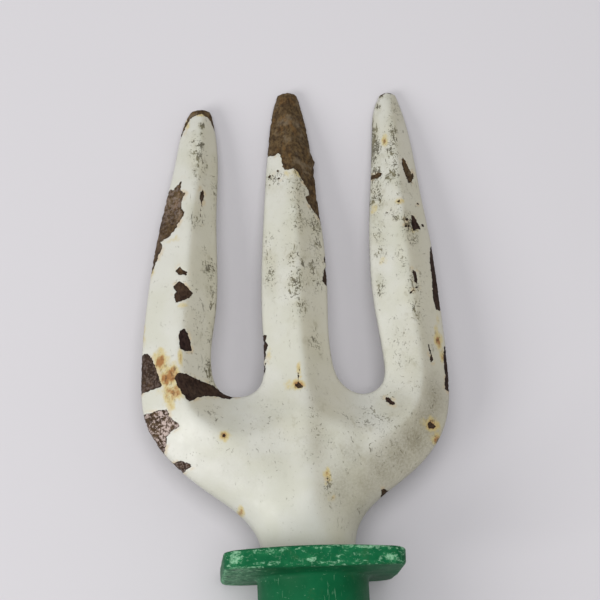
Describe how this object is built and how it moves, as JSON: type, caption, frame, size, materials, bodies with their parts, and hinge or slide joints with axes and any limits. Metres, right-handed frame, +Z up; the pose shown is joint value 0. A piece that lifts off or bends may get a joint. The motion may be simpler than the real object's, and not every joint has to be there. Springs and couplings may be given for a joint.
{
  "type": "hand fork",
  "caption": "Short garden hand fork with a pressed steel head of channel tines, an arched neck, and a moulded grip with a guard flange and a hanging hole.",
  "frame": {"origin": "on the ground in the middle of the fork's footprint, with the fork lying on its face, back up", "axes": "+Y along the grip's axis from the grip to the tine tips, +Z up through the back of the head, +X to the right"},
  "size_m": [0.0882, 0.272, 0.0483],
  "materials": {
    "head_paint": "chipped white paint over rusted steel",
    "grip_plastic": "moulded green plastic, scuffed on the flange",
    "pin_steel": "dull zinc",
    "plug_plastic": "moulded green plastic"
  },
  "bodies": {
    "root": {"fork_head": "head_paint", "handle_grip": "grip_plastic", "cross_pin": "pin_steel", "end_plug": "plug_plastic"}
  },
  "joints": []
}
